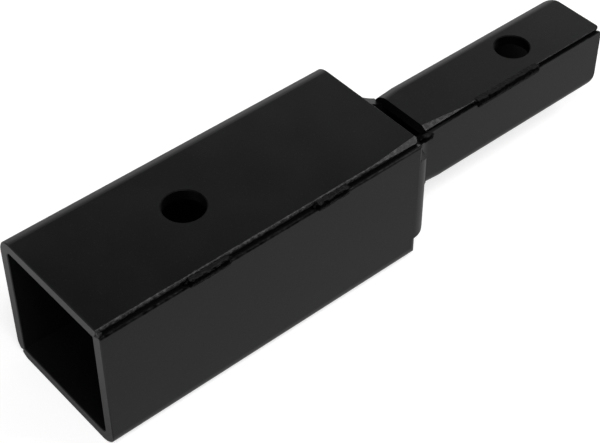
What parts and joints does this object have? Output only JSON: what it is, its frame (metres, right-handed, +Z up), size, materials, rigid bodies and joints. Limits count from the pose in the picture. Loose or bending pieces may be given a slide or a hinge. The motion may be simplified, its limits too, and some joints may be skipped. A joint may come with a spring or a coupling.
{
  "type": "hitch receiver adapter",
  "caption": "Square receiver socket stepping down to a narrower square shank, folded from plate in two welded halves, with cross pin holes through both ends.",
  "frame": {"origin": "on the long axis, at the middle of the shank's pin hole", "axes": "+Y along the shank, away from the socket; +Z up, along the pin holes; +X toward the right half"},
  "size_m": [0.0632, 0.2655, 0.0616],
  "materials": {
    "black_coat": "satin black powder coat on steel"
  },
  "bodies": {
    "root": {"left_half": "black_coat", "right_half": "black_coat", "upper_mouth_tack": "black_coat", "upper_front_stitch": "black_coat", "upper_rear_stitch": "black_coat", "upper_shank_stitch": "black_coat", "upper_neck_tack": "black_coat", "lower_mouth_tack": "black_coat", "lower_front_stitch": "black_coat", "lower_rear_stitch": "black_coat", "lower_shank_stitch": "black_coat", "lower_neck_tack": "black_coat"}
  },
  "joints": []
}
